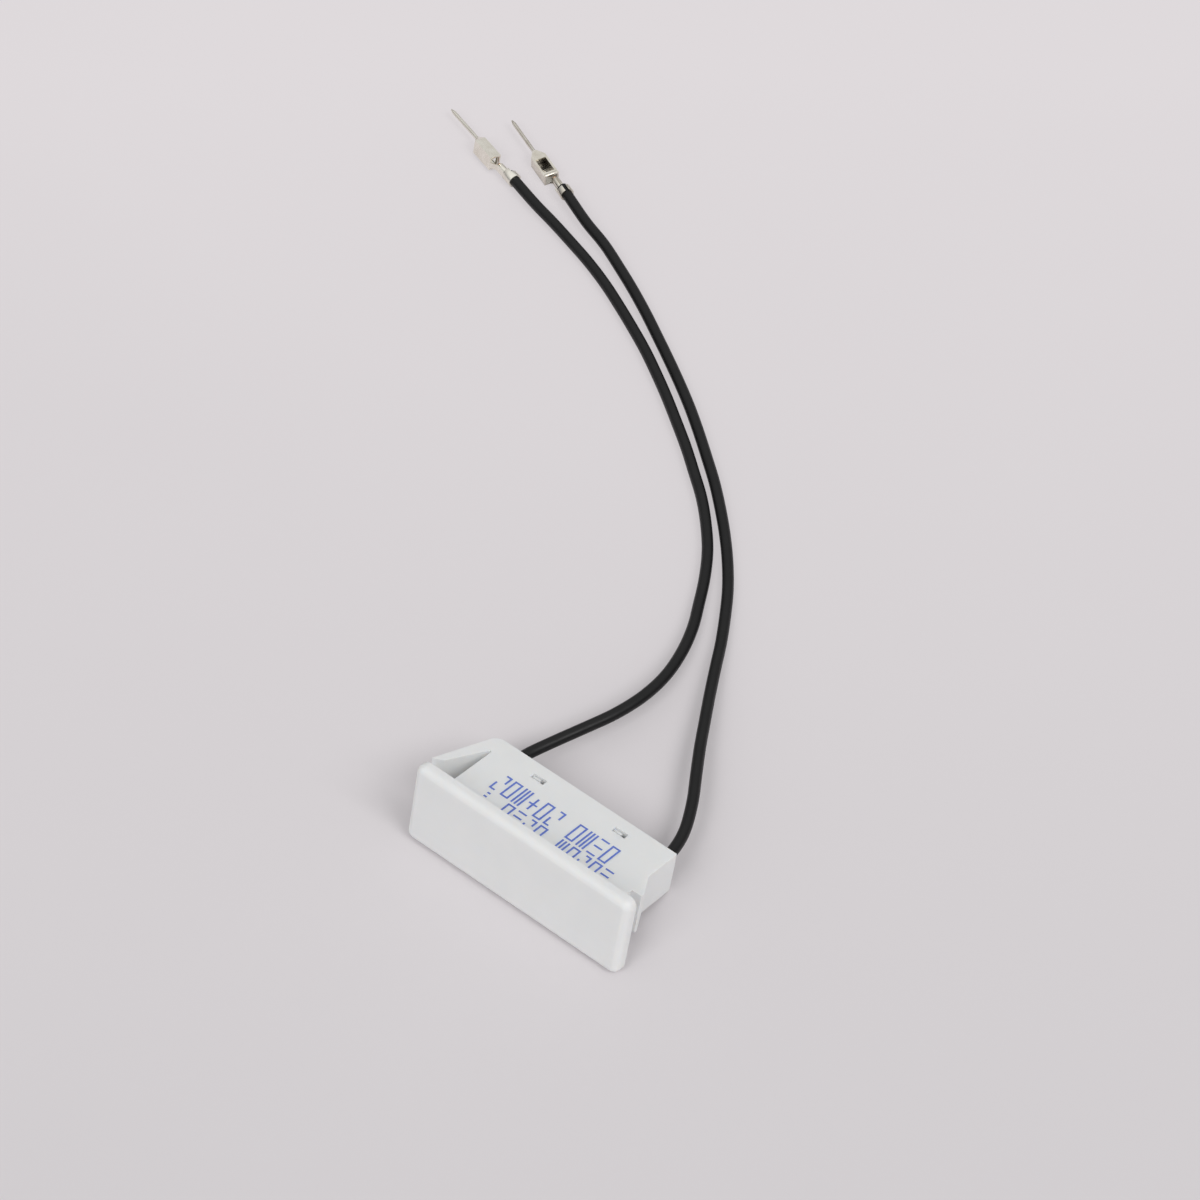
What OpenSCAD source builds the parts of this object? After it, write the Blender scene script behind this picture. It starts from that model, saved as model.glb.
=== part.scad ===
// Snap-in reed switch: a white moulded housing that holds a sealed reed capsule,
// with two insulated wires that end in crimped pin contacts.
// It lies as it rests: on its flange's lower edge and the body's rear edge, wires on the floor.
// Housing pieces are drawn upright first: X along the flange, Y from its front face to the rear, Z up.

/* [Flange] */
// Width of the flange, mm
flange_w = 38; // [36:0.5:44]
// Height of the flange, mm
flange_h = 13.6; // [12.4:0.2:18]
// Thickness of the flange, mm
flange_t = 1.9; // [1.6:0.1:3]
// Corner radius of the flange's outline, mm
flange_corner_r = 1.3; // [1.25:0.05:3]
// Radius of the flange's front edges, mm
flange_edge_r = 1.1; // [0.4:0.1:1.1]

/* [Body] */
// Width of the body behind the flange, mm
body_w = 30.8; // [30:0.2:32]
// Height of the body, mm
body_h = 7.1; // [6.9:0.1:9]
// Length of the body from the flange to its rear edge, mm
body_l = 14.1; // [13.8:0.1:18]
// How much further back the body's lower rear edge lies than its upper one, mm
rear_slant = 0.4; // [0:0.05:0.6]
// Wall thickness of the body, mm
wall = 1; // [0.8:0.05:1.1]
// Radius of the body's rear corner on the barb side, mm
body_corner_r = 0.5; // [0.2:0.1:0.8]

/* [Latch arm] */
// Thickness of the latch arm, mm
arm_t = 1.15; // [0.9:0.05:1.3]
// Angle of the latch arm off the body's side, degrees
arm_angle = 19; // [17:0.5:22]
// Distance from the body's side to the outer corner of the arm's tip, mm
arm_flare = 4.93; // [4.8:0.05:5.4]
// Distance from the flange's rear face to the arm's tip, mm
arm_gap = 3.85; // [3.4:0.05:4.2]
// How much further back the inner corner of the arm's tip lies, mm
arm_slant = 0.85; // [0.3:0.05:1]
// Radius at the closed end of the slot between arm and body, mm
slot_r = 0.2; // [0.2:0.05:0.4]
// Distance from the body's rear edge to the slot's closed end, mm
slot_back = 3.2; // [2.8:0.1:4]
// Radius of the arm's bend at the rear corner, mm
arm_root_r = 2; // [1:0.1:2.2]

/* [Snap barb] */
// How far the barb stands out from the body's side, mm
barb_out = 1.7; // [1:0.1:2]
// Distance from the flange's rear face to the barb's front face, mm
barb_gap = 4; // [3:0.1:4.5]
// Length of the barb's flat tip, mm
barb_tip = 0.6; // [0.3:0.1:1]
// Length of the barb's ramp, mm
barb_ramp = 3.2; // [2:0.1:4]

/* [Snap windows] */
// Distance of each window's centre from the middle of the body, mm
window_x = 7.3; // [6.8:0.1:8]
// Width of each window, mm
window_w = 2.3; // [1.8:0.1:2.6]
// Length of each window, mm
window_l = 1; // [0.8:0.1:1.2]
// Distance from the body's rear edge to each window's centre, mm
window_back = 2.5; // [2.3:0.1:3]

/* [Reed capsule] */
// Outer diameter of the glass tube, mm
glass_d = 2.3; // [2:0.1:2.6]
// Length of the glass tube, mm
glass_l = 14; // [13:0.5:16]
// Wall thickness of the glass tube, mm
glass_wall = 0.3; // [0.2:0.05:0.35]
// Length of the glass seal at each end, mm
seal_l = 1.9; // [1.5:0.1:2.2]
// Diameter of the reed leads, mm
lead_d = 0.6; // [0.5:0.05:0.7]
// Bend radius of the reed leads at their middle line, mm
lead_bend_r = 1; // [0.8:0.1:1.5]
// Width of the reed blades, mm
blade_w = 1.1; // [0.8:0.05:1.2]
// Thickness of the reed blades, mm
blade_t = 0.2; // [0.15:0.01:0.22]
// Gap between the open blades, mm
blade_gap = 0.2; // [0.1:0.01:0.24]
// Length over which the blades' tips overlap, mm
blade_lap = 1; // [0.5:0.1:1.5]
// Height of the capsule and the wires above the middle of the body, mm
capsule_up = 0.9; // [0.5:0.05:0.95]
// Distance of the retaining ribs from the middle of the body, mm
rib_x = 4.6; // [3:0.1:5.2]
// Thickness of the retaining ribs, mm
rib_t = 1; // [0.8:0.1:1.4]
// Plastic between the capsule and the flange's rear face, mm
rib_floor = 0.5; // [0.3:0.05:0.8]

/* [Rear cover] */
// Thickness of the rear cover, mm
cover_t = 1.2; // [0.8:0.1:1.4]
// How deep the rear cover sits in the body, mm
cover_inset = 0.2; // [0:0.1:0.4]
// Clearance round the rear cover, mm
cover_gap = 0.1; // [0.05:0.01:0.15]
// Thickness of the cover's snap tongues, mm
tongue_t = 0.7; // [0.5:0.05:0.8]
// Width of the cover's snap tongues, mm
tongue_w = 1.3; // [1:0.1:1.6]
// How far a tongue reaches past its window, mm
tongue_past = 0.3; // [0.2:0.05:0.5]
// Depth from the body's surface down to the top of a snap nub, mm
nub_sunk = 0.35; // [0.2:0.05:0.5]
// Width of the cover's hold-down fingers, mm
finger_w = 1.2; // [0.8:0.1:1.6]
// Height of the cover's hold-down fingers, mm
finger_h = 1.8; // [1.4:0.1:2]

/* [Wires] */
// Outer diameter of the wires' insulation, mm
wire_d = 1.75; // [1.4:0.05:1.8]
// Distance of each wire's middle from the body's side, mm
wire_in = 2.2; // [2.15:0.05:2.6]
// Diameter of the stranded conductor, mm
strand_d = 0.72; // [0.5:0.02:0.8]
// Distance from the body's rear edge to the end of the insulation inside, mm
strip_back = 4.4; // [4:0.1:5]
// Length of bare conductor at the solder joint, mm
splice_l = 3.2; // [2.6:0.1:3.6]
// Length over which reed lead and conductor lie side by side, mm
splice_lap = 2; // [1.4:0.1:2.4]
// Diameter of the solder joint, mm
solder_d = 1.6; // [1.4:0.05:1.7]
// Wall thickness of the shrink sleeves, mm
sleeve_wall = 0.12; // [0.08:0.01:0.15]
// Length of the shrink sleeves, mm
sleeve_l = 6; // [5:0.1:7]

/* [Pin contacts] */
// Diameter of the contact pins, mm
pin_d = 0.64; // [0.5:0.02:0.8]
// Length of the contact pins beyond their neck, mm
pin_l = 8; // [6:0.1:9]
// How far the pins lie below the middle of the wires, mm
pin_drop = 0.15; // [0.1:0.05:0.9]
// How far pin and box lie to the left of the middle of the wires, mm
front_shift = 0.25; // [0:0.05:0.4]
// Length of the neck between box and pin, mm
neck_l = 1.4; // [1:0.1:2.4]
// Sheet thickness of the contacts, mm
strip_t = 0.25; // [0.2:0.01:0.3]
// Width of the strip under the crimps, mm
sole_w = 1; // [0.8:0.05:1.2]
// Length of the insulation crimp, mm
grip_l = 1.3; // [1:0.1:2]
// Opening along the top of the insulation crimp, mm
grip_open = 0.6; // [0.3:0.05:0.8]
// How far the insulation shows past its crimp, mm
insulation_past = 0.5; // [0.2:0.1:0.6]
// Open distance between the two crimps, mm
crimp_gap = 0.8; // [0.7:0.1:1.2]
// How far the sides of the trough between the crimps end below the middle of the wire, mm
trough_low = 0.1; // [0:0.05:0.5]
// Length of the conductor crimp, mm
crimp_l = 2; // [1.6:0.1:3]
// Depth of the seam along the top of the conductor crimp, mm
seam_depth = 0.15; // [0.05:0.01:0.18]
// Length of the sloping bridge between conductor crimp and box, mm
bridge_l = 0.9; // [0.5:0.1:1.2]
// Length of the contact's box, mm
box_l = 4.8; // [4.4:0.1:6]
// Width of the contact's box, mm
box_w = 2.5; // [2.1:0.05:2.8]
// Height of the contact's box, mm
box_h = 1.9; // [1.6:0.05:2.2]
// How far the box's sole lies below the middle of the wires, mm
box_drop = 1.7; // [1.5:0.05:1.9]
// Length of the open window in the top of the box, mm
top_window_l = 3.2; // [2.4:0.1:3.4]
// Width of the open window in the top of the box, mm
top_window_w = 1.8; // [1:0.1:1.8]
// Distance from the box's wire end to its window, mm
top_window_start = 0.85; // [0.65:0.05:1.1]
// Radius of the rolled lip across the box's wire end, mm
lip_r = 0.3; // [0.2:0.05:0.35]
// How far the rolled lip stands proud of the box's top, mm
lip_up = 0.1; // [0.02:0.01:0.15]

/* [Printing] */
// Distance from one printed mark to the next, mm
mark_pitch = 1.94; // [1.8:0.01:2]
// Width of a printed mark, mm
mark_w = 1.4; // [1:0.05:1.5]
// Length of the marks in the rear row, mm
rear_mark_l = 3.7; // [3:0.05:3.8]
// Length of the marks in the front row, mm
front_mark_l = 2.65; // [2:0.05:2.8]
// Width of a printed stroke, mm
stroke = 0.28; // [0.2:0.01:0.35]
// Distance from the flange's rear face to the front row, mm
front_row_gap = 2.05; // [2.05:0.05:2.2]
// Distance from the flange's rear face to the rear row, mm
rear_row_gap = 5.15; // [5:0.05:5.4]
// Distance from the body's barb side to the front row, mm
front_row_side = 3.6; // [3:0.1:3.8]
// Distance from the body's barb side to the rear row, mm
rear_row_side = 5.7; // [4:0.1:6]
// Thickness of the ink, mm
ink_t = 0.03; // [0.02:0.005:0.05]

/* [Hidden] */
$fn = 64;
LEFT = -1;
RIGHT = 1;
cut = 1; // how far a cutting shape runs past the face that it opens
slip = 0.05; // small running clearance between inner pieces
white = [0.87, 0.87, 0.88];
tin = [0.78, 0.77, 0.74];
ink_blue = [0.25, 0.3, 0.75];

// Places in the upright housing
body_end = flange_t + body_l;
body_low = (flange_h - body_h) / 2;
body_top = body_low + body_h;
body_mid = flange_h / 2;
cavity_w = body_w - 2 * wall;
cavity_h = body_h - 2 * wall;
cavity_top = body_top - wall;
axis_z = body_mid + capsule_up;
wire_x = body_w / 2 - wire_in;
glass_r = glass_d / 2;
axis_y = flange_t + rib_floor + slip + glass_r;
window_y = body_end - window_back;
cover_front = body_end - cover_inset - cover_t;
wire_r = wire_d / 2;
insulation_y = body_end - strip_back;

// Pose at rest: the flange's lower rear edge and the body's lower rear edge touch the floor
body_back = body_end + rear_slant;
rest_tilt = atan(body_low / (body_back - flange_t));
front_reach = flange_edge_r - flange_t;
low_front = flange_t + front_reach * cos(rest_tilt) + flange_edge_r * sin(rest_tilt) - flange_edge_r;
high_rear = flange_t + body_l * cos(rest_tilt) + body_top * sin(rest_tilt);
centre_x = (flange_w / 2 - body_w / 2 - arm_flare) / 2;
centre_y = (low_front + high_rear) / 2;

function rest_point(p) = [
    p[0] - centre_x,
    flange_t - centre_y + (p[1] - flange_t) * cos(rest_tilt) + p[2] * sin(rest_tilt),
    p[2] * cos(rest_tilt) - (p[1] - flange_t) * sin(rest_tilt)
];

// Each wire's route over the floor, after its straight start out of the housing
straight_out = 2.6;
floor_z = 0.88;
left_route = [
    [-11.3, 14.8, 3.6], [-9.5, 19.8, 3.4], [-7.9, 24.7, 3.1], [-7, 29.9, 2.7], [-7.1, 35.1, 2.2],
    [-8.2, 40.2, 1.7], [-10, 45.1, 1.3], [-12.4, 49.7, 1], [-14.9, 54.2, 0.9], [-17.8, 58.5, floor_z],
    [-21.2, 62.4, floor_z], [-24.9, 66, floor_z], [-29, 69.3, floor_z], [-33.1, 72.5, floor_z],
    [-37.3, 75.5, floor_z], [-41.6, 78.5, floor_z], [-45.9, 81.3, floor_z], [-50.3, 84, floor_z],
    [-54.9, 86.5, floor_z], [-59.4, 88.8, floor_z], [-64, 91, floor_z], [-69, 93, 0.9],
    [-73.9, 94.6, 0.95], [-78.8, 96.1, 1], [-83.6, 97.4, 1.1], [-89.2, 99.2, 1.2]
];
right_route = [
    [12.9, 14.6, 3.6], [10.6, 19.2, 3.4], [7.8, 23.6, 3.1], [5, 28, 2.7], [2.4, 32.4, 2.3],
    [-0.2, 36.8, 1.8], [-2.8, 41.4, 1.4], [-5.3, 45.9, 1], [-8, 50.3, 0.9], [-10.9, 54.6, floor_z],
    [-14.2, 58.7, floor_z], [-17.7, 62.5, floor_z], [-21.4, 66.1, floor_z], [-25.3, 69.6, floor_z],
    [-29.3, 72.8, floor_z], [-33.4, 76, floor_z], [-37.6, 79.1, floor_z], [-41.9, 82, floor_z],
    [-46.3, 84.8, floor_z], [-50.7, 87.5, floor_z], [-55.2, 90.2, 0.9], [-59.9, 92.8, 0.95],
    [-64.5, 95.1, 1.05], [-69.3, 97.3, 1.25], [-74.5, 99.1, 1.5], [-80.5, 101.7, 1.75]
];
left_roll = 100; // how far each contact is rolled about its own axis, degrees
right_roll = 0;

function route_of(side) = side == LEFT ? left_route : right_route;
function last(list) = list[len(list) - 1];
function unit(v) = v / norm(v);
// Direction in which a wire runs into its contact: level, along its last stretch
function level(v) = [v[0], v[1], 0];
function end_way(side) = let (r = route_of(side)) unit(level(last(r) - r[len(r) - 2]));
function wire_line(side) = concat(
    [rest_point([side * wire_x, insulation_y, axis_z]),
     rest_point([side * wire_x, body_end, axis_z]),
     rest_point([side * wire_x, body_end + straight_out, axis_z])],
    route_of(side),
    [last(route_of(side)) + end_way(side) * (grip_l + insulation_past - slip)]
);

// A round cord as one closed skin: a ring of points at each place along its line
cord_sides = 8;
function way_at(line, i) = unit(line[min(i + 1, len(line) - 1)] - line[max(i - 1, 0)]);
function ring_at(line, i, r) = let (
    way = i == 0 ? unit(line[1] - line[0])
        : i == len(line) - 1 ? unit(line[i] - line[i - 1])
        : unit(unit(line[i] - line[i - 1]) + unit(line[i + 1] - line[i])),
    side = unit(cross(way, [0, 0, 1])),
    up = cross(side, way)
) [for (k = [0 : cord_sides - 1]) let (a = 360 * k / cord_sides) line[i] + r * (cos(a) * side + sin(a) * up)];

module cord(line, r) {
    rings = len(line);
    points = [for (i = [0 : rings - 1]) each ring_at(line, i, r)];
    skin = [
        for (i = [0 : rings - 2], k = [0 : cord_sides - 1])
            let (a = i * cord_sides + k, b = i * cord_sides + (k + 1) % cord_sides)
                [a, b, b + cord_sides, a + cord_sides]
    ];
    near_end = [for (k = [cord_sides - 1 : -1 : 0]) k];
    far_end = [for (k = [0 : cord_sides - 1]) (rings - 1) * cord_sides + k];
    polyhedron(points, concat(skin, [near_end, far_end]), convexity = 8);
}

// Sets an upright housing piece down as it rests
module at_rest() {
    translate([-centre_x, flange_t - centre_y, 0])
        rotate([-rest_tilt, 0, 0])
            translate([0, -flange_t, 0])
                children();
}

module rounded_outline(w, h, r) {
    square([w - 2 * r, h], center = true);
    square([w, h - 2 * r], center = true);
    for (x = [-1, 1], y = [-1, 1])
        translate([x * (w / 2 - r), y * (h / 2 - r)])
            circle(r);
}

// Section through a rounded edge: it is corner_r wide and edge_r high
module edge_section(corner_r, edge_r) {
    flat_w = corner_r - edge_r;
    intersection() {
        union() {
            translate([flat_w, 0])
                circle(edge_r);
            square([flat_w, edge_r]);
        }
        square([corner_r, edge_r]);
    }
}

// A plate with a rounded outline whose upper edges are rounded too
module soft_plate(w, h, t, corner_r, edge_r) {
    straight_w = w - 2 * corner_r;
    straight_h = h - 2 * corner_r;
    linear_extrude(t - edge_r)
        rounded_outline(w, h, corner_r);
    translate([0, 0, t - edge_r]) {
        linear_extrude(edge_r)
            square([straight_w, straight_h], center = true);
        for (a = [0, 180])
            rotate([0, 0, a]) {
                translate([-straight_w / 2, straight_h / 2, 0])
                    rotate([90, 0, 90])
                        linear_extrude(straight_w)
                            edge_section(corner_r, edge_r);
                translate([straight_w / 2, straight_h / 2, 0])
                    rotate([90, 0, 0])
                        linear_extrude(straight_h)
                            edge_section(corner_r, edge_r);
                translate([straight_w / 2, straight_h / 2, 0])
                    rotate_extrude(angle = 90)
                        edge_section(corner_r, edge_r);
                translate([-straight_w / 2, straight_h / 2, 0])
                    rotate([0, 0, 90])
                        rotate_extrude(angle = 90)
                            edge_section(corner_r, edge_r);
            }
    }
}

module flange() {
    translate([0, flange_t, flange_h / 2])
        rotate([90, 0, 0])
            soft_plate(flange_w, flange_h, flange_t, flange_corner_r, flange_edge_r);
}

// The latch arm seen from above: it springs from the rear corner and flares towards the flange
module arm_plan() {
    side_x = -body_w / 2;
    tip = [side_x - arm_flare, flange_t + arm_gap];
    inner_tip = [tip[0] + arm_t / cos(arm_angle) + arm_slant * tan(arm_angle), tip[1] + arm_slant];
    slot_y = body_end - slot_back;
    bend_y = body_end - arm_root_r;
    bend_x = tip[0] + ((bend_y - tip[1]) * sin(arm_angle) + arm_root_r) / cos(arm_angle);
    difference() {
        union() {
            polygon([
                tip, inner_tip, [side_x - 2 * slot_r, slot_y], [side_x + wall, slot_y],
                [side_x + wall, body_end], [bend_x, body_end],
                [bend_x - arm_root_r * cos(arm_angle), bend_y + arm_root_r * sin(arm_angle)]
            ]);
            translate([bend_x, bend_y])
                circle(arm_root_r);
        }
        translate([side_x - slot_r, slot_y])
            circle(slot_r);
        // keeps the slot clear where the rounded root reaches into it
        polygon([inner_tip, [side_x, inner_tip[1]], [side_x, slot_y], [side_x - 2 * slot_r, slot_y]]);
    }
}

module barb_plan() {
    side_x = body_w / 2;
    front_y = flange_t + barb_gap;
    polygon([
        [side_x - wall / 2, front_y], [side_x + barb_out, front_y], [side_x + barb_out, front_y + barb_tip],
        [side_x, front_y + barb_tip + barb_ramp], [side_x - wall / 2, front_y + barb_tip + barb_ramp]
    ]);
}

// The body's block with its slanted rear, and the arm and the barb at its sides
module body_block() {
    r = body_corner_r;
    start = flange_t / 2;
    intersection() {
        translate([0, 0, body_low])
            linear_extrude(body_h) {
                translate([-body_w / 2, start])
                    square([body_w - r, body_back - start]);
                translate([-body_w / 2, start])
                    square([body_w, body_back - r - start]);
                translate([body_w / 2 - r, body_back - r])
                    circle(r);
            }
        rotate([90, 0, 90])
            translate([0, 0, -body_w])
                linear_extrude(2 * body_w)
                    polygon([
                        [0, body_low], [body_back, body_low], [body_end, body_top], [0, body_top]
                    ]);
    }
    translate([0, 0, body_low])
        linear_extrude(body_h) {
            arm_plan();
            barb_plan();
        }
}

// Both ribs carry the glass tube in a notch that opens to the rear
module capsule_rib(x) {
    difference() {
        translate([x - rib_t / 2, flange_t - slip, body_low + wall - slip])
            cube([rib_t, axis_y - flange_t + slip, cavity_h + 2 * slip]);
        translate([x, axis_y, axis_z])
            rotate([0, 90, 0])
                cylinder(r = glass_r + slip, h = rib_t + cut, center = true);
    }
}

module housing() {
    color(white)
        at_rest() {
            difference() {
                union() {
                    flange();
                    body_block();
                }
                translate([-cavity_w / 2, flange_t, body_low + wall])
                    cube([cavity_w, body_l + rear_slant + cut, cavity_h]);
                for (x = [-window_x, window_x])
                    translate([x - window_w / 2, window_y - window_l / 2, body_low - cut])
                        cube([window_w, window_l, body_h + 2 * cut]);
            }
            for (x = [-rib_x, rib_x])
                capsule_rib(x);
        }
}

// One snap tongue under the body's top wall; its nub stands at the left of the window
module snap_tongue(x) {
    tongue_x = x - window_w / 2 + cover_gap;
    tongue_front = window_y - window_l / 2 - tongue_past;
    tongue_top = cavity_top - cover_gap;
    nub_front = window_y - window_l / 2 + cover_gap;
    nub_back = window_y + window_l / 2 - cover_gap;
    nub_top = body_top - nub_sunk;
    translate([tongue_x, tongue_front, tongue_top - tongue_t])
        cube([tongue_w, cover_front - tongue_front + slip, tongue_t]);
    translate([tongue_x, 0, 0])
        rotate([90, 0, 90])
            linear_extrude(tongue_w)
                polygon([
                    [nub_front, tongue_top - slip], [nub_back, tongue_top - slip], [nub_back, nub_top],
                    [(nub_front + nub_back) / 2, nub_top]
                ]);
}

module cover_corner_cut(side) {
    notch_w = cavity_w / 2 - (wire_x - wire_r - cover_gap);
    low_z = axis_z;
    translate([side * (cavity_w / 2 - notch_w / 2), cover_front + cover_t / 2, low_z + cavity_h / 2])
        cube([notch_w, cover_t + 2 * cut, cavity_h], center = true);
    translate([side * wire_x, cover_front + cover_t / 2, axis_z])
        rotate([90, 0, 0])
            cylinder(r = wire_r + cover_gap, h = cover_t + 2 * cut, center = true);
}

module rear_cover() {
    plate_w = cavity_w - 2 * cover_gap;
    plate_h = cavity_h - 2 * cover_gap;
    color(white)
        at_rest() {
            difference() {
                translate([-plate_w / 2, cover_front, body_mid - plate_h / 2])
                    cube([plate_w, cover_t, plate_h]);
                cover_corner_cut(LEFT);
                cover_corner_cut(RIGHT);
            }
            for (x = [-window_x, window_x]) {
                snap_tongue(x);
                translate([0, 0, 2 * body_mid])
                    mirror([0, 0, 1])
                        snap_tongue(x);
            }
            for (x = [-rib_x, rib_x])
                difference() {
                    translate([x - finger_w / 2, axis_y + 2 * slip, axis_z - finger_h / 2])
                        cube([finger_w, cover_front - axis_y - slip, finger_h]);
                    translate([x, axis_y, axis_z])
                        rotate([0, 90, 0])
                            cylinder(r = glass_r + slip, h = finger_w + cut, center = true);
                }
        }
}

// Lays a piece that is drawn along X on the capsule's middle line
module on_capsule() {
    at_rest()
        translate([0, axis_y, axis_z])
            children();
}

bore_l = glass_l - 2 * seal_l;
lead_in = 0.4; // how far a reed lead reaches into the tube past its seal
blade_root = bore_l / 2 - lead_in;

module glass_tube() {
    color([0.75, 0.85, 0.8, 0.5])
        on_capsule()
            rotate([0, 90, 0])
                difference() {
                    union() {
                        cylinder(r = glass_r, h = glass_l - glass_d, center = true);
                        for (z = [-1, 1])
                            translate([0, 0, z * (glass_l - glass_d) / 2])
                                sphere(glass_r);
                    }
                    cylinder(r = glass_r - glass_wall, h = bore_l, center = true);
                    cylinder(d = lead_d, h = glass_l + cut, center = true);
                }
}

module reed_blade(side) {
    blade_l = blade_root + blade_lap / 2 - slip / 2;
    low_y = -side * (blade_gap + blade_t) / 2 - blade_t / 2;
    color([0.7, 0.69, 0.66])
        on_capsule()
            translate([side == LEFT ? -blade_root + slip / 2 : -blade_lap / 2, low_y, -blade_w / 2])
                cube([blade_l, blade_t, blade_w]);
}

module left_reed_blade() { reed_blade(LEFT); }
module right_reed_blade() { reed_blade(RIGHT); }

lead_r = lead_d / 2;
lead_side = (wire_x - lead_r - slip / 2);
splice_front = insulation_y - splice_l;

// The reed lead leaves the seal, turns towards the rear and lies beside the conductor
module reed_lead(side) {
    turn_x = lead_side - lead_bend_r;
    run_l = splice_front + splice_lap - axis_y - lead_bend_r;
    color([0.7, 0.69, 0.66])
        on_capsule()
            scale_side(side) {
                translate([blade_root, 0, 0])
                    rotate([0, 90, 0])
                        cylinder(r = lead_r, h = turn_x - blade_root);
                translate([turn_x, lead_bend_r, 0])
                    rotate([0, 0, -90])
                        rotate_extrude(angle = 90)
                            translate([lead_bend_r, 0])
                                circle(lead_r);
                translate([lead_side, lead_bend_r, 0])
                    rotate([-90, 0, 0])
                        cylinder(r = lead_r, h = run_l);
            }
}

// Draws a piece of the right side, or its mirror image on the left
module scale_side(side) {
    if (side == LEFT)
        mirror([1, 0, 0])
            children();
    else
        children();
}

module left_reed_lead() { reed_lead(LEFT); }
module right_reed_lead() { reed_lead(RIGHT); }

strand_r = strand_d / 2;
strand_x = wire_x + strand_r + slip / 2;

module splice_strands(side) {
    color([0.72, 0.45, 0.3])
        at_rest()
            scale_side(side)
                translate([strand_x, splice_front, axis_z])
                    rotate([-90, 0, 0])
                        cylinder(r = strand_r, h = splice_l);
}

module left_splice_strands() { splice_strands(LEFT); }
module right_splice_strands() { splice_strands(RIGHT); }

module solder_joint(side) {
    color(tin)
        at_rest()
            scale_side(side)
                difference() {
                    translate([wire_x, splice_front + slip, axis_z])
                        rotate([-90, 0, 0])
                            cylinder(d = solder_d, h = splice_lap - 2 * slip);
                    translate([lead_side, splice_front - cut, axis_z])
                        rotate([-90, 0, 0])
                            cylinder(r = lead_r, h = splice_lap + 2 * cut);
                    translate([strand_x, splice_front - cut, axis_z])
                        rotate([-90, 0, 0])
                            cylinder(r = strand_r, h = splice_lap + 2 * cut);
                }
}

module left_solder_joint() { solder_joint(LEFT); }
module right_solder_joint() { solder_joint(RIGHT); }

module shrink_sleeve(side) {
    sleeve_y = insulation_y + splice_l / 2 - sleeve_l;
    color([0.12, 0.12, 0.13])
        at_rest()
            scale_side(side)
                translate([wire_x, sleeve_y, axis_z])
                    rotate([-90, 0, 0])
                        difference() {
                            cylinder(r = wire_r + slip / 2 + sleeve_wall, h = sleeve_l);
                            translate([0, 0, -cut])
                                cylinder(r = wire_r + slip / 2, h = sleeve_l + 2 * cut);
                        }
}

module left_shrink_sleeve() { shrink_sleeve(LEFT); }
module right_shrink_sleeve() { shrink_sleeve(RIGHT); }

module left_wire() {
    color([0.09, 0.09, 0.1])
        cord(wire_line(LEFT), wire_r);
}

module right_wire() {
    color([0.09, 0.09, 0.1])
        cord(wire_line(RIGHT), wire_r);
}

// Places along a contact, from the wire's side of its insulation crimp
strand_start = grip_l + insulation_past;
crimp_start = grip_l + crimp_gap;
bridge_start = crimp_start + crimp_l;
box_start = bridge_start + bridge_l;
neck_start = box_start + box_l;
pin_start = neck_start + neck_l;
crimp_z = -0.25; // the conductor lies this far below the middle of the insulation
crimp_r = strand_r + strip_t;
sole_z = crimp_z - crimp_r - strip_t / 2;
grip_r = wire_r + slip / 2 + strip_t;
brush_l = 0.4; // length of conductor that shows past its crimp

// Lays a contact at the end of its wire; a contact is drawn along X from its insulation crimp
module at_wire_end(side) {
    way = end_way(side);
    translate(last(route_of(side)))
        rotate([side == LEFT ? left_roll : right_roll, 0, atan2(way[1], way[0])])
            children();
}

module along_x(r, l) {
    rotate([0, 90, 0])
        cylinder(r = r, h = l);
}

module crimp_strands(side) {
    color([0.75, 0.6, 0.5])
        at_wire_end(side)
            translate([strand_start, 0, crimp_z])
                along_x(strand_r, bridge_start + brush_l - strand_start);
}

module left_crimp_strands() { crimp_strands(LEFT); }
module right_crimp_strands() { crimp_strands(RIGHT); }

// Draws a profile of length along X and height along Z, a given width across Y
module sideways(width) {
    rotate([90, 0, 0])
        translate([0, 0, -width / 2])
            linear_extrude(width)
                children();
}

// Insulation crimp and conductor crimp, joined by an open trough under the wire
module contact_crimps() {
    seam_side = seam_depth * sqrt(2);
    difference() {
        along_x(grip_r, crimp_start + slip);
        translate([-cut, 0, 0])
            along_x(grip_r - strip_t, crimp_start + 2 * cut);
        translate([-cut, -grip_open / 2, 0])
            cube([grip_l + 2 * cut, grip_open, 2 * grip_r]);
        translate([grip_l, -2 * grip_r, -trough_low])
            cube([crimp_gap + cut, 4 * grip_r, 2 * grip_r]);
    }
    difference() {
        translate([crimp_start, 0, crimp_z])
            along_x(crimp_r, crimp_l);
        translate([crimp_start - cut, 0, crimp_z])
            along_x(strand_r, crimp_l + 2 * cut);
        translate([crimp_start - cut, 0, crimp_z + crimp_r])
            rotate([45, 0, 0])
                translate([0, -seam_side / 2, -seam_side / 2])
                    cube([crimp_l + 2 * cut, seam_side, seam_side]);
    }
    translate([crimp_start - slip, -sole_w / 2, sole_z])
        cube([crimp_l + 2 * slip, sole_w, strip_t]);
    sideways(sole_w)
        polygon([
            [bridge_start - slip, sole_z], [bridge_start - slip, sole_z + strip_t],
            [box_start + slip, strip_t - box_drop], [box_start + slip, -box_drop]
        ]);
}

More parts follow.
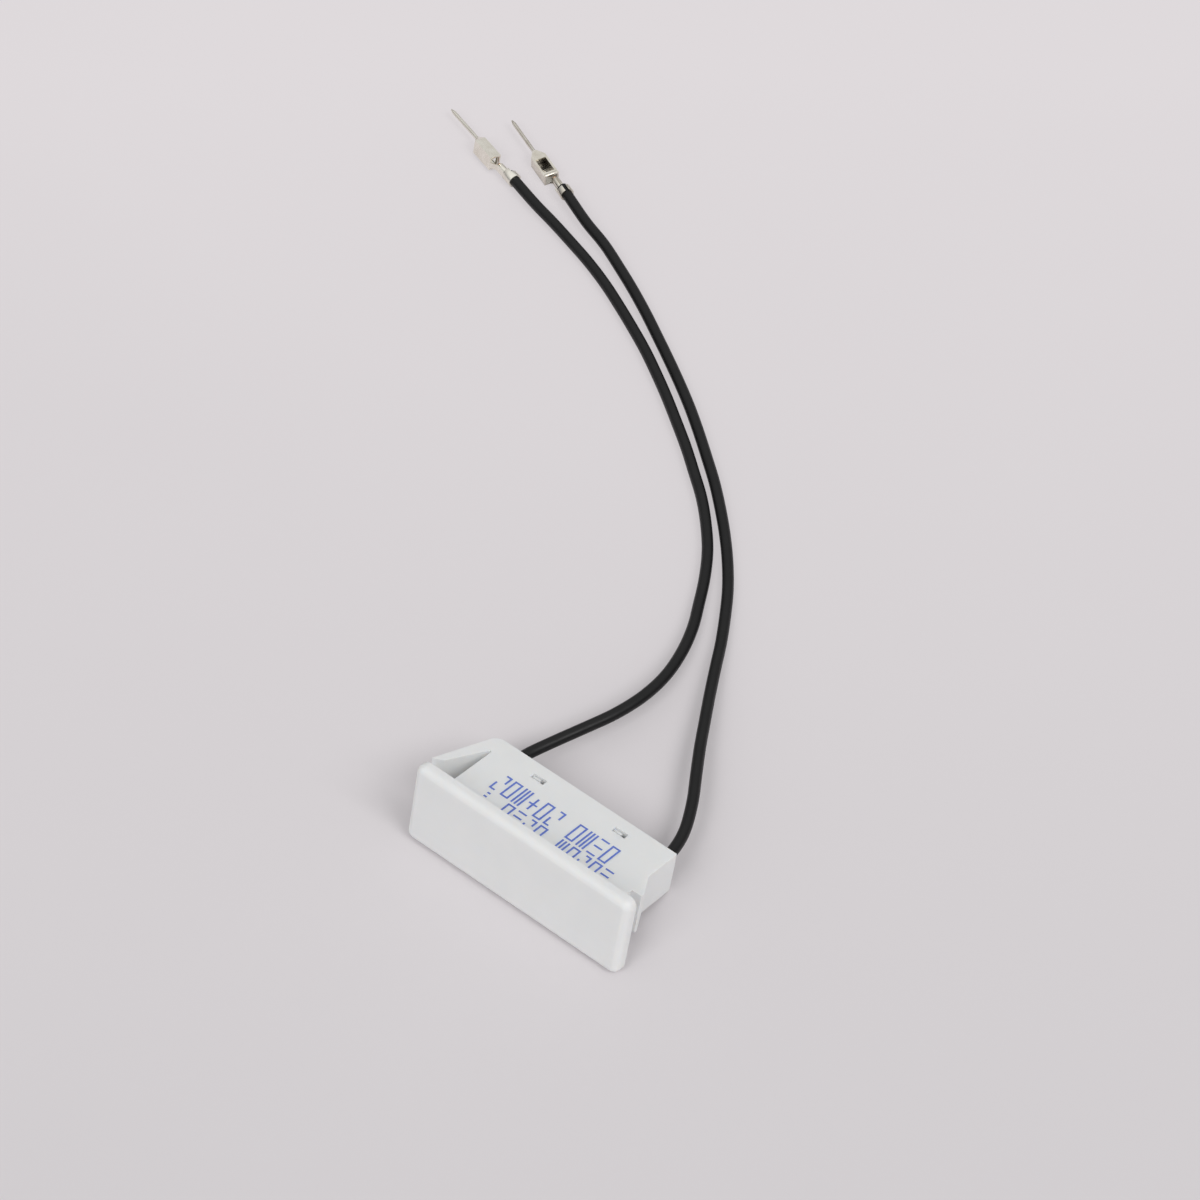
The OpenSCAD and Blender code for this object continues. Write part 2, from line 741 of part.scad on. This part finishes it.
// Box with an open window in its top and a rolled lip at its wire end
module contact_box() {
    inner_w = box_w - 2 * strip_t;
    translate([box_start, front_shift, -box_drop]) {
        difference() {
            translate([0, -box_w / 2, 0])
                cube([box_l, box_w, box_h]);
            translate([-cut, -inner_w / 2, strip_t])
                cube([box_l + cut - strip_t, inner_w, box_h - 2 * strip_t]);
            translate([top_window_start, -top_window_w / 2, box_h / 2])
                cube([top_window_l, top_window_w, box_h]);
        }
        translate([lip_r, inner_w / 2 + slip, box_h + lip_up - lip_r])
            rotate([90, 0, 0])
                cylinder(r = lip_r, h = inner_w + 2 * slip);
    }
}

// The neck narrows to the pin, seen from above as well as from the side
module contact_neck() {
    r = pin_d / 2;
    top = box_h - box_drop;
    intersection() {
        translate([0, front_shift, -box_drop])
            linear_extrude(box_h)
                polygon([
                    [neck_start - slip, -box_w / 2], [neck_start, -box_w / 2], [pin_start, -r],
                    [pin_start, r], [neck_start, box_w / 2], [neck_start - slip, box_w / 2]
                ]);
        sideways(2 * box_w)
            polygon([
                [neck_start - slip, -box_drop], [neck_start, -box_drop], [pin_start, -pin_drop - r],
                [pin_start, r - pin_drop], [neck_start, top], [neck_start - slip, top]
            ]);
    }
}

// One strip of sheet metal: crimps, box, neck and pin
module pin_contact(side) {
    tip_l = 0.8;
    color(tin)
        at_wire_end(side) {
            contact_crimps();
            contact_box();
            contact_neck();
            translate([pin_start - slip, front_shift, -pin_drop])
                along_x(pin_d / 2, pin_l - tip_l + slip);
            translate([pin_start + pin_l - tip_l, front_shift, -pin_drop])
                rotate([0, 90, 0])
                    cylinder(r1 = pin_d / 2, r2 = pin_d / 5, h = tip_l);
        }
}

module left_pin_contact() { pin_contact(LEFT); }
module right_pin_contact() { pin_contact(RIGHT); }

// Printed marks are plain shapes, each a few straight strokes on a cell one unit wide and one long
frame_mark = [[[0, 0], [1, 0]], [[1, 0], [1, 1]], [[1, 1], [0, 1]], [[0, 1], [0, 0]]];
bars_mark = [[[0, 0], [0, 1]], [[0.5, 0], [0.5, 1]], [[1, 0], [1, 1]]];
steps_mark = [[[0, 0], [1, 0]], [[0, 0.5], [1, 0.5]], [[0, 1], [1, 1]]];
plus_mark = [[[0, 0.5], [1, 0.5]], [[0.5, 0.15], [0.5, 0.85]]];
corners_mark = [[[0, 0.4], [0, 0]], [[0, 0], [0.6, 0]], [[0.4, 1], [1, 1]], [[1, 1], [1, 0.6]]];
dots_mark = [[[0.4, 0.15], [0.6, 0.15]], [[0.4, 0.5], [0.6, 0.5]], [[0.4, 0.85], [0.6, 0.85]]];
no_mark = [];
rear_marks = [frame_mark, steps_mark, bars_mark, frame_mark, no_mark,
              corners_mark, frame_mark, plus_mark, bars_mark, frame_mark, corners_mark];
front_marks = [steps_mark, frame_mark, corners_mark, frame_mark, bars_mark, no_mark,
               frame_mark, corners_mark, steps_mark, frame_mark, no_mark, dots_mark];

function spread(p, span) = [p[0] * span[0], p[1] * span[1]];

module print_stroke(a, b) {
    way = b - a;
    translate([a[0], a[1], 0])
        rotate([0, 0, atan2(way[1], way[0])])
            translate([-stroke / 2, -stroke / 2, 0])
                cube([norm(way) + stroke, stroke, ink_t]);
}

module print_row(marks, side_gap, row_gap, mark_l) {
    span = [mark_w - stroke, mark_l - stroke];
    first_x = body_w / 2 - side_gap - mark_w + stroke / 2;
    color(ink_blue)
        at_rest()
            for (i = [0 : len(marks) - 1])
                translate([first_x - i * mark_pitch, flange_t + row_gap + stroke / 2, body_top])
                    for (line = marks[i])
                        print_stroke(spread(line[0], span), spread(line[1], span));
}

module rear_print_row() { print_row(rear_marks, rear_row_side, rear_row_gap, rear_mark_l); }
module front_print_row() { print_row(front_marks, front_row_side, front_row_gap, front_mark_l); }

housing();
rear_cover();
glass_tube();
left_reed_blade();
right_reed_blade();
left_reed_lead();
right_reed_lead();
left_solder_joint();
right_solder_joint();
left_shrink_sleeve();
right_shrink_sleeve();
left_splice_strands();
right_splice_strands();
left_wire();
right_wire();
left_crimp_strands();
right_crimp_strands();
left_pin_contact();
right_pin_contact();
rear_print_row();
front_print_row();
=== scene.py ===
import math
import bmesh
import bpy
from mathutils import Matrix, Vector


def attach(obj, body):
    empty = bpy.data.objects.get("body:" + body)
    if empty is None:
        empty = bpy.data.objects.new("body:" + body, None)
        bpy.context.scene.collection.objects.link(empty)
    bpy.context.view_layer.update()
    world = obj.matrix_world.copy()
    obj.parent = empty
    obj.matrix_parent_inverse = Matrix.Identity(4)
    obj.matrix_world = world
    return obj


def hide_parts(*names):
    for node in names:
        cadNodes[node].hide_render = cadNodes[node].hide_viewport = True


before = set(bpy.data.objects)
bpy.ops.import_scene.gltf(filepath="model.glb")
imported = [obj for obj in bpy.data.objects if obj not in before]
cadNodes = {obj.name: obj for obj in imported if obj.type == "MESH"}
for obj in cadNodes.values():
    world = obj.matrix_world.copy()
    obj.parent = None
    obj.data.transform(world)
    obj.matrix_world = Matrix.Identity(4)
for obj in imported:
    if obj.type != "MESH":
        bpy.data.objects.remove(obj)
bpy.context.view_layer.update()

scene = bpy.context.scene
mm = 0.001

print("camera")
cameraSetup = {
    "place": (0.22410, -0.26147, 0.47474),
    "look": (-0.4038, 0.4923, -0.7711),
    "lens": 126,  # mm, for the sensor below
    "sensor": 36,
    "clip": (0.02, 20),
}


def addCamera(setup):
    data = bpy.data.cameras.new("photoCamera")
    data.lens = setup["lens"]
    data.sensor_width = setup["sensor"]
    data.clip_start, data.clip_end = setup["clip"]
    camera = bpy.data.objects.new("photoCamera", data)
    camera.location = setup["place"]
    camera.rotation_euler = Vector(setup["look"]).to_track_quat("-Z", "Y").to_euler()
    scene.collection.objects.link(camera)
    scene.camera = camera


addCamera(cameraSetup)

print("wires")
wires = {
    "diameter": 1.75 * mm,
    "sides": 10,  # how round the sleeve is
    "steps": 6,  # straight bits between two points of a route
    "crimpReach": 1.75,  # mm of sleeve that go on into the contact's grip
    # the places below are in mm
    "left": {
        "exit": (-12.54, 8.25, 4.43),
        "inside": (-12.54, 3.96, 5.39),
        "straight": (-12.54, 10.79, 3.86),
        "route": [
            (-11.3, 14.8, 3.6), (-9.5, 19.8, 3.4), (-7.9, 24.7, 3.1), (-7, 29.9, 2.7),
            (-7.1, 35.1, 2.2), (-8.2, 40.2, 1.7), (-10, 45.1, 1.3), (-12.4, 49.7, 1),
            (-14.9, 54.2, 0.9), (-17.8, 58.5, 0.88), (-21.2, 62.4, 0.88), (-24.9, 66, 0.88),
            (-29, 69.3, 0.88), (-33.1, 72.5, 0.88), (-37.3, 75.5, 0.88), (-41.6, 78.5, 0.88),
            (-45.9, 81.3, 0.88), (-50.3, 84, 0.88), (-54.9, 86.5, 0.88), (-59.4, 88.8, 0.88),
            (-64, 91, 0.88), (-69, 93, 0.9), (-73.9, 94.6, 0.95), (-78.8, 96.1, 1),
            (-83.6, 97.4, 1.1), (-89.2, 99.2, 1.2),
        ],
    },
    "right": {
        "exit": (13.87, 8.25, 4.43),
        "inside": (13.87, 3.96, 5.39),
        "straight": (13.87, 10.79, 3.86),
        "route": [
            (12.9, 14.6, 3.6), (10.6, 19.2, 3.4), (7.8, 23.6, 3.1), (5, 28, 2.7),
            (2.4, 32.4, 2.3), (-0.2, 36.8, 1.8), (-2.8, 41.4, 1.4), (-5.3, 45.9, 1),
            (-8, 50.3, 0.9), (-10.9, 54.6, 0.88), (-14.2, 58.7, 0.88), (-17.7, 62.5, 0.88),
            (-21.4, 66.1, 0.88), (-25.3, 69.6, 0.88), (-29.3, 72.8, 0.88), (-33.4, 76, 0.88),
            (-37.6, 79.1, 0.88), (-41.9, 82, 0.88), (-46.3, 84.8, 0.88), (-50.7, 87.5, 0.88),
            (-55.2, 90.2, 0.9), (-59.9, 92.8, 0.95), (-64.5, 95.1, 1.05), (-69.3, 97.3, 1.25),
            (-74.5, 99.1, 1.5), (-80.5, 101.7, 1.75),
        ],
    },
}


def smoothLine(points, steps):
    # Catmull-Rom through the points
    pts = [Vector(p) for p in points]
    pts = [2 * pts[0] - pts[1]] + pts + [2 * pts[-1] - pts[-2]]
    line = []
    for i in range(1, len(pts) - 2):
        a, b, c, d = pts[i - 1:i + 3]
        for s in range(steps):
            t = s / steps
            line.append(0.5 * (2 * b + (c - a) * t + (2 * a - 5 * b + 4 * c - d) * t * t
                               + (3 * b - a - 3 * c + d) * t ** 3))
    line.append(pts[-2])
    return line


def wirePoints(side):
    own = wires[side]
    last, before = Vector(own["route"][-1]), Vector(own["route"][-2])
    way = last - before
    way.z = 0
    reach = last + way.normalized() * wires["crimpReach"]
    return [own["inside"], own["exit"], own["straight"]] + own["route"] + [tuple(reach)]


def addWire(side):
    line = smoothLine(wirePoints(side), wires["steps"])
    data = bpy.data.curves.new(side + "WireLine", "CURVE")
    data.dimensions = "3D"
    data.bevel_depth = 1  # the points' own radius gives the size
    data.bevel_resolution = wires["sides"]
    data.use_fill_caps = True
    spline = data.splines.new("POLY")
    spline.points.add(len(line) - 1)
    for point, place in zip(spline.points, line):
        point.co = (*(place * mm), 1)
        point.radius = wires["diameter"] / 2
    spline.use_smooth = True
    wire = bpy.data.objects.new(side + "WireCord", data)
    scene.collection.objects.link(wire)
    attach(wire, "case")
    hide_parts(side + "_wire")
    return wire


wireCords = {side: addWire(side) for side in ("left", "right")}

print("materials")


def nodeMaterial(name):
    material = bpy.data.materials.new(name)
    material.use_nodes = True
    tree = material.node_tree
    return material, tree, tree.nodes["Principled BSDF"]


def addNode(tree, kind, **settings):
    node = tree.nodes.new(kind)
    for key, value in settings.items():
        if key in node.inputs:
            node.inputs[key].default_value = value
        else:
            setattr(node, key, value)
    return node


def noise(tree, scale, detail=3, rough=0.5, stretch=None):
    place = addNode(tree, "ShaderNodeTexCoord")
    texture = addNode(tree, "ShaderNodeTexNoise", Scale=scale, Detail=detail, Roughness=rough)
    if stretch:
        mapping = addNode(tree, "ShaderNodeMapping", Scale=stretch)
        tree.links.new(place.outputs["Object"], mapping.inputs["Vector"])
        tree.links.new(mapping.outputs["Vector"], texture.inputs["Vector"])
    else:
        tree.links.new(place.outputs["Object"], texture.inputs["Vector"])
    return texture.outputs["Fac"]


def spread(tree, value, low, high, fromLow=0.3, fromHigh=0.7):
    node = addNode(tree, "ShaderNodeMapRange")
    node.inputs["From Min"].default_value = fromLow
    node.inputs["From Max"].default_value = fromHigh
    node.inputs["To Min"].default_value = low
    node.inputs["To Max"].default_value = high
    tree.links.new(value, node.inputs["Value"])
    return node.outputs["Result"]


def blendTones(tree, value, toneA, toneB):
    node = addNode(tree, "ShaderNodeMix", data_type="RGBA")
    node.inputs[6].default_value = (*toneA, 1)
    node.inputs[7].default_value = (*toneB, 1)
    tree.links.new(value, node.inputs["Factor"])
    return node.outputs[2]


everySurface = {
    "glossScale": 2.3,  # the gloss changes in smaller patches than the tone
    "ior": 1.5,
    "shine": 0.5,
    "glowTint": (1, 0.9, 0.8),
    "paintedShadeSamples": 8,
    "paintedShadeSpan": (0.12, 0.68),  # painted shade: a recess is painted fully dark at the first openness, and clear at the second
}


def finish(name, look):
    # one mottled surface: two tones, uneven gloss and a fine grain, and where a look asks for it,
    # painted shade in recesses
    material, tree, shader = nodeMaterial(name)
    blotch = noise(tree, look["blotch"], detail=4, rough=0.55, stretch=look.get("stretch"))
    tone = blendTones(tree, spread(tree, blotch, 0, 1), look["toneA"], look["toneB"])
    if "paintedShadeTone" in look:
        # painted shade: the tone is darkened in narrow recesses of the folded strip, as far as
        # ambient occlusion finds them enclosed
        shade = addNode(tree, "ShaderNodeAmbientOcclusion", Distance=look["paintedShadeReach"],
                        samples=everySurface["paintedShadeSamples"])
        depth = spread(tree, shade.outputs["AO"], 1, 0, *everySurface["paintedShadeSpan"])
        paintedShadeMix = addNode(tree, "ShaderNodeMix", data_type="RGBA")
        paintedShadeMix.inputs[7].default_value = (*look["paintedShadeTone"], 1)
        tree.links.new(depth, paintedShadeMix.inputs["Factor"])
        tree.links.new(tone, paintedShadeMix.inputs[6])
        tone = paintedShadeMix.outputs[2]
    tree.links.new(tone, shader.inputs["Base Color"])
    gloss = noise(tree, look["blotch"] * everySurface["glossScale"], detail=5,
                  stretch=look.get("stretch"))
    low, high = look["rough"]
    tree.links.new(spread(tree, gloss, low, high), shader.inputs["Roughness"])
    grain = noise(tree, look["grain"], detail=6, rough=0.6, stretch=look.get("stretch"))
    bump = addNode(tree, "ShaderNodeBump", Strength=look["bumpStrength"])
    bump.inputs["Distance"].default_value = look["bump"]
    tree.links.new(grain, bump.inputs["Height"])
    tree.links.new(bump.outputs["Normal"], shader.inputs["Normal"])
    shader.inputs["Metallic"].default_value = look.get("metal", 0)
    shader.inputs["IOR"].default_value = everySurface["ior"]
    shader.inputs["Specular IOR Level"].default_value = look.get("shine", everySurface["shine"])
    if "glow" in look:
        shader.inputs["Subsurface Weight"].default_value = look["glow"]
        shader.inputs["Subsurface Radius"].default_value = everySurface["glowTint"]
        shader.inputs["Subsurface Scale"].default_value = look["glowReach"]
    if "clear" in look:
        shader.inputs["Transmission Weight"].default_value = look["clear"]
    return material


# tones are linear, blotch and grain are noise scales, and bump is in metres
stripLook = {
    "blotch": 700, "rough": (0.22, 0.34), "grain": 5200, "bump": 0.00001, "bumpStrength": 0.25,
    "metal": 1,
}
surfaces = {
    "housingPlastic": {
        "toneA": (0.815, 0.825, 0.826), "toneB": (0.84, 0.846, 0.845),
        "blotch": 170, "rough": (0.42, 0.54), "grain": 5200, "bump": 0.00002, "bumpStrength": 0.25,
        "glow": 0.5, "glowReach": 0.0008,
    },
    "coverPlastic": {
        "toneA": (0.795, 0.806, 0.806), "toneB": (0.83, 0.837, 0.835),
        "blotch": 220, "rough": (0.42, 0.55), "grain": 4200, "bump": 0.00002, "bumpStrength": 0.3,
        "glow": 0.5, "glowReach": 0.0008,
    },
    "wireSleeve": {
        "toneA": (0.002, 0.002, 0.0022), "toneB": (0.004, 0.004, 0.0043),
        "blotch": 350, "rough": (0.36, 0.46), "grain": 2600, "bump": 0.00002, "bumpStrength": 0.3,
        "shine": 0.3,
    },
    "shrinkTube": {
        "toneA": (0.016, 0.016, 0.017), "toneB": (0.028, 0.028, 0.03),
        "blotch": 500, "rough": (0.3, 0.45), "grain": 1500, "bump": 0.00006, "bumpStrength": 0.4,
    },
    "tinnedStrip": {
        **stripLook, "toneA": (0.66, 0.615, 0.53), "toneB": (0.8, 0.765, 0.69),
        # painted shade: its recesses are darkened towards this tone within this reach
        "paintedShadeTone": (0.04, 0.036, 0.032), "paintedShadeReach": 0.002,
    },
    # painted light: a lit copy of tinnedStrip, paler, with lighter painted shade in its recesses
    "tinnedStripLitCopy": {
        **stripLook, "toneA": (0.8, 0.76, 0.67), "toneB": (0.92, 0.89, 0.81),
        "paintedShadeTone": (0.1, 0.09, 0.08), "paintedShadeReach": 0.0012,
    },
    "copperStrands": {
        "toneA": (0.55, 0.27, 0.14), "toneB": (0.75, 0.5, 0.35),
        "blotch": 1500, "rough": (0.25, 0.4), "grain": 6000, "bump": 0.00003, "bumpStrength": 0.5,
        "metal": 1, "stretch": (1, 0.15, 0.15),
    },
    "reedMetal": {
        "toneA": (0.5, 0.49, 0.47), "toneB": (0.66, 0.65, 0.62),
        "blotch": 1200, "rough": (0.22, 0.38), "grain": 7000, "bump": 0.00001, "bumpStrength": 0.3,
        "metal": 1,
    },
    "solderMetal": {
        "toneA": (0.55, 0.55, 0.56), "toneB": (0.74, 0.74, 0.73),
        "blotch": 1500, "rough": (0.25, 0.5), "grain": 3000, "bump": 0.00006, "bumpStrength": 0.5,
        "metal": 1,
    },
    "capsuleGlass": {
        "toneA": (0.72, 0.85, 0.74), "toneB": (0.82, 0.92, 0.84),
        "blotch": 400, "rough": (0.02, 0.06), "grain": 900, "bump": 0.00002, "bumpStrength": 0.1,
        "clear": 1,
    },
    "printInk": {
        "toneA": (0.085, 0.15, 0.55), "toneB": (0.15, 0.235, 0.67),
        "blotch": 2600, "rough": (0.45, 0.7), "grain": 6000, "bump": 0.00001, "bumpStrength": 0.3,
    },
}
finishes = {name: finish(name, look) for name, look in surfaces.items()}

print("housing")
cleaning = {
    "weld": 2e-6,  # the solids come with their faces apart, and points this close are joined
    "flat": 0.4,  # faces that turn less than this many degrees become one
}
moulding = {
    "edge": 0.14 * mm,  # radius that the mould leaves on every plain edge
    "rings": 3,
    "arc": 0.5,  # profile of a true arc
    "sharpFrom": 45,  # edges that turn more than this many degrees are rounded
}


def softenEdges(node, setup):
    # a welded copy of the solid with every sharp edge rounded
    mesh = bpy.data.meshes.new(node + "Soft")
    work = bmesh.new()
    work.from_mesh(cadNodes[node].data)
    bmesh.ops.remove_doubles(work, verts=work.verts, dist=cleaning["weld"])
    bmesh.ops.dissolve_limit(work, angle_limit=math.radians(cleaning["flat"]), verts=work.verts,
                             edges=work.edges)
    turn = math.radians(setup["sharpFrom"])
    sharp = [e for e in work.edges if len(e.link_faces) == 2 and e.calc_face_angle(0) > turn]
    bmesh.ops.bevel(work, geom=sharp, offset=setup["edge"], offset_type="OFFSET",
                    segments=setup["rings"], profile=setup["arc"], affect="EDGES",
                    clamp_overlap=True)
    for face in work.faces:
        face.smooth = True
    work.to_mesh(mesh)
    work.free()
    piece = bpy.data.objects.new(node + "Soft", mesh)
    scene.collection.objects.link(piece)
    evened = piece.modifiers.new("evened", "WEIGHTED_NORMAL")
    evened.keep_sharp = True
    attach(piece, "case")
    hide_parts(node)
    print("  %s: %d rounded edges, %d faces" % (node, len(sharp), len(mesh.polygons)))
    return piece


softHousing = softenEdges("housing", moulding)

print("contacts")
folded = {
    "edge": 0.05 * mm,  # radius left on the edges of the stamped strip
    "rings": 2,
    "sharpFrom": 40,
}


def roundStrip(piece, setup):
    # the same softening by modifiers, on the solid itself
    weld = piece.modifiers.new("weld", "WELD")
    weld.merge_threshold = cleaning["weld"]
    flat = piece.modifiers.new("flat", "DECIMATE")
    flat.decimate_type = "DISSOLVE"
    flat.angle_limit = math.radians(cleaning["flat"])
    edges = piece.modifiers.new("edges", "BEVEL")
    edges.width = setup["edge"]
    edges.segments = setup["rings"]
    edges.limit_method = "ANGLE"
    edges.angle_limit = math.radians(setup["sharpFrom"])
    evened = piece.modifiers.new("evened", "WEIGHTED_NORMAL")
    evened.keep_sharp = True


for side in ("left", "right"):
    roundStrip(cadNodes[side + "_pin_contact"], folded)

dressed = {
    "housing": "housingPlastic", "rear_cover": "coverPlastic", "glass_tube": "capsuleGlass",
    "rear_print_row": "printInk", "front_print_row": "printInk",
}
for side in ("left", "right"):
    dressed.update({
        side + "_reed_blade": "reedMetal", side + "_reed_lead": "reedMetal",
        side + "_solder_joint": "solderMetal", side + "_shrink_sleeve": "shrinkTube",
        side + "_splice_strands": "copperStrands", side + "_crimp_strands": "copperStrands",
        side + "_wire": "wireSleeve",
    })
dressed["left_pin_contact"] = "tinnedStripLitCopy"  # it looks paler than the right one, so the same tinned strip is painted paler here as if lit more, with lighter painted shade in its recesses
dressed["right_pin_contact"] = "tinnedStrip"


def dress(piece, material):
    piece.data.materials.clear()
    piece.data.materials.append(material)


for node, key in dressed.items():
    dress(cadNodes[node], finishes[key])
for wire in wireCords.values():
    dress(wire, finishes["wireSleeve"])
dress(softHousing, finishes["housingPlastic"])

print("floor and light")
studio = {
    "paper": 3,  # half the width of the floor
    "awayLine": (-0.634, 0.773, 0),  # the way in which the painted light on the floor changes: the paper is painted darker near and lighter far, for the fall of the light across it
    "cloudSize": 14,
    "cloudTones": ((0.985, 0.983, 0.985), (1.012, 1.012, 1.012)),
    "nearShadedTone": (0.680, 0.655, 0.671),
    "farLitTone": (0.848, 0.806, 0.824),
    "near": -0.12,  # metres along awayLine at which the near tone ends
    "far": 0.16,  # and the far tone begins
    "paperRough": 0.8,
    "paperShine": 0.15,
    "ambient": 0.52,
    "horizon": 0.49,
    "airBand": (0, 0.45),  # heights between which horizon changes to ambient
    "mirrored": 0.9,  # what glossy surfaces find overhead
    "mirroredLow": 0.25,  # and near the horizon
    "mirrorBand": (0.1, 0.75),
    "selfLitFrom": 0.025,  # painted light: from here backwards the paper glows with some light of its own, which pales the shadows cast on it
    "selfLitTo": 0.06,  # and from here on the whole share of glow
    "selfLitShare": 0.7,
    "selfLitLevel": 0.88,
    "lamps": [
        # turn off the camera's side, height angle, distance, size, power
        (48, 47, 2.5, 1.1, 18.5),
        (-38, 47, 2.5, 1.1, 14),
    ],
}


def seenDirectly(tree):
    # 1 for camera, glossy and transmission rays, 0 for all others
    path = addNode(tree, "ShaderNodeLightPath")
    first = addNode(tree, "ShaderNodeMath", operation="MAXIMUM")
    tree.links.new(path.outputs["Is Camera Ray"], first.inputs[0])
    tree.links.new(path.outputs["Is Glossy Ray"], first.inputs[1])
    second = addNode(tree, "ShaderNodeMath", operation="MAXIMUM")
    tree.links.new(first.outputs[0], second.inputs[0])
    tree.links.new(path.outputs["Is Transmission Ray"], second.inputs[1])
    return second.outputs[0]


def addFloor(setup):
    mesh = bpy.data.meshes.new("paperFloor")
    reach = setup["paper"]
    mesh.from_pydata([(-reach, -reach, 0), (reach, -reach, 0), (reach, reach, 0),
                      (-reach, reach, 0)], [], [(0, 1, 2, 3)])
    floor = bpy.data.objects.new("paperFloor", mesh)
    scene.collection.objects.link(floor)
    material, tree, shader = nodeMaterial("paperFloor")
    place = addNode(tree, "ShaderNodeTexCoord")
    away = addNode(tree, "ShaderNodeVectorMath", operation="DOT_PRODUCT")
    away.inputs[1].default_value = setup["awayLine"]
    tree.links.new(place.outputs["Object"], away.inputs[0])
    # painted light: the paper's tone grades from the darker near tone to the lighter far tone along
    # awayLine
    depth = spread(tree, away.outputs["Value"], 0, 1, setup["near"], setup["far"])
    ground = blendTones(tree, depth, setup["nearShadedTone"], setup["farLitTone"])
    cloudy = blendTones(tree, noise(tree, setup["cloudSize"], detail=5), *setup["cloudTones"])
    mixed = addNode(tree, "ShaderNodeMix", data_type="RGBA", blend_type="MULTIPLY")
    mixed.inputs["Factor"].default_value = 1
    tree.links.new(ground, mixed.inputs[6])
    tree.links.new(cloudy, mixed.inputs[7])
    tree.links.new(mixed.outputs[2], shader.inputs["Base Color"])
    shader.inputs["Roughness"].default_value = setup["paperRough"]
    shader.inputs["Specular IOR Level"].default_value = setup["paperShine"]
    # painted light: the paper's own tone glows for camera, glossy and transmission rays, by a share
    # that grows backwards, and pales the shadows on it there
    paperGlow = addNode(tree, "ShaderNodeEmission", Strength=setup["selfLitLevel"])
    tree.links.new(mixed.outputs[2], paperGlow.inputs["Color"])
    parts = addNode(tree, "ShaderNodeSeparateXYZ")
    tree.links.new(place.outputs["Object"], parts.inputs["Vector"])
    share = spread(tree, parts.outputs["Y"], 0, setup["selfLitShare"],
                   setup["selfLitFrom"], setup["selfLitTo"])
    amount = addNode(tree, "ShaderNodeMath", operation="MULTIPLY")
    tree.links.new(share, amount.inputs[0])
    tree.links.new(seenDirectly(tree), amount.inputs[1])
    both = addNode(tree, "ShaderNodeMixShader")
    tree.links.new(amount.outputs[0], both.inputs[0])
    tree.links.new(shader.outputs[0], both.inputs[1])
    tree.links.new(paperGlow.outputs[0], both.inputs[2])
    tree.links.new(both.outputs[0], tree.nodes["Material Output"].inputs["Surface"])
    mesh.materials.append(material)


def airTone(tree, height, low, high, band):
    return blendTones(tree, spread(tree, height, 0, 1, *band), (low,) * 3, (high,) * 3)


def addLight(setup):
    world = bpy.data.worlds.new("studioAir")
    world.use_nodes = True
    scene.world = world
    tree = world.node_tree
    place = addNode(tree, "ShaderNodeTexCoord")
    parts = addNode(tree, "ShaderNodeSeparateXYZ")
    tree.links.new(place.outputs["Generated"], parts.inputs["Vector"])
    height = parts.outputs["Z"]
    tone = airTone(tree, height, setup["horizon"], setup["ambient"], setup["airBand"])
    mirrored = airTone(tree, height, setup["mirroredLow"], setup["mirrored"], setup["mirrorBand"])
    either = addNode(tree, "ShaderNodeMix", data_type="RGBA")
    tree.links.new(seenDirectly(tree), either.inputs["Factor"])
    tree.links.new(tone, either.inputs[6])
    tree.links.new(mirrored, either.inputs[7])
    tree.links.new(either.outputs[2], tree.nodes["Background"].inputs["Color"])
    tree.nodes["Background"].inputs["Strength"].default_value = 1
    back = -Vector(cameraSetup["look"])
    towards = math.atan2(back.y, back.x)
    for i, (turn, raised, distance, size, power) in enumerate(setup["lamps"]):
        data = bpy.data.lights.new("softLamp%d" % (i + 1), "AREA")
        data.shape = "SQUARE"
        data.size = size
        data.energy = power
        lamp = bpy.data.objects.new(data.name, data)
        around = towards + math.radians(turn)
        up = math.radians(raised)
        way = Vector((math.cos(around) * math.cos(up), math.sin(around) * math.cos(up),
                      math.sin(up)))
        lamp.location = way * distance
        lamp.rotation_euler = way.to_track_quat("Z", "Y").to_euler()
        scene.collection.objects.link(lamp)
    scene.view_settings.view_transform = "Standard"


addFloor(studio)
addLight(studio)

print("updating the scene")
bpy.context.view_layer.update()
